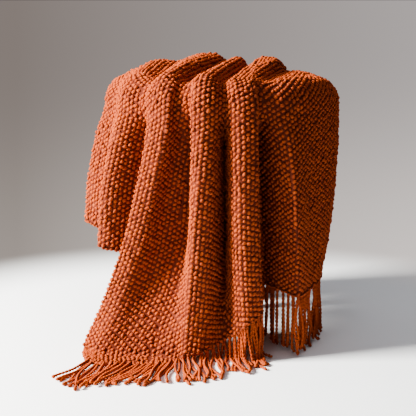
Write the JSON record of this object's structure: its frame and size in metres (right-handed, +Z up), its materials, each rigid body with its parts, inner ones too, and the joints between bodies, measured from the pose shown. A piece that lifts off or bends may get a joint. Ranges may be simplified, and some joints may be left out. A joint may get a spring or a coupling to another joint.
{
  "type": "throw blanket draped over a plain stool",
  "caption": "Chunky knitted throw with a fringe on both ends, hanging in deep pleats over a plain round stool, one corner down on the floor.",
  "frame": {"origin": "middle of the bounding box, on the floor", "axes": "+Z up, -Y towards the front, where the fringed end reaches the floor, +X to the right"},
  "size_m": [0.4544, 0.639, 0.4895],
  "materials": {
    "knit": "matte chunky knit in moss stitch, rust coloured yarn",
    "fringe_yarn": "matte plied yarn, rust coloured",
    "wood": "plain oiled wood"
  },
  "bodies": {
    "root": {"throw": "knit", "fringe_front": "fringe_yarn", "fringe_back": "fringe_yarn", "seat": "wood", "leg_1": "wood", "leg_2": "wood", "leg_3": "wood"}
  },
  "joints": []
}
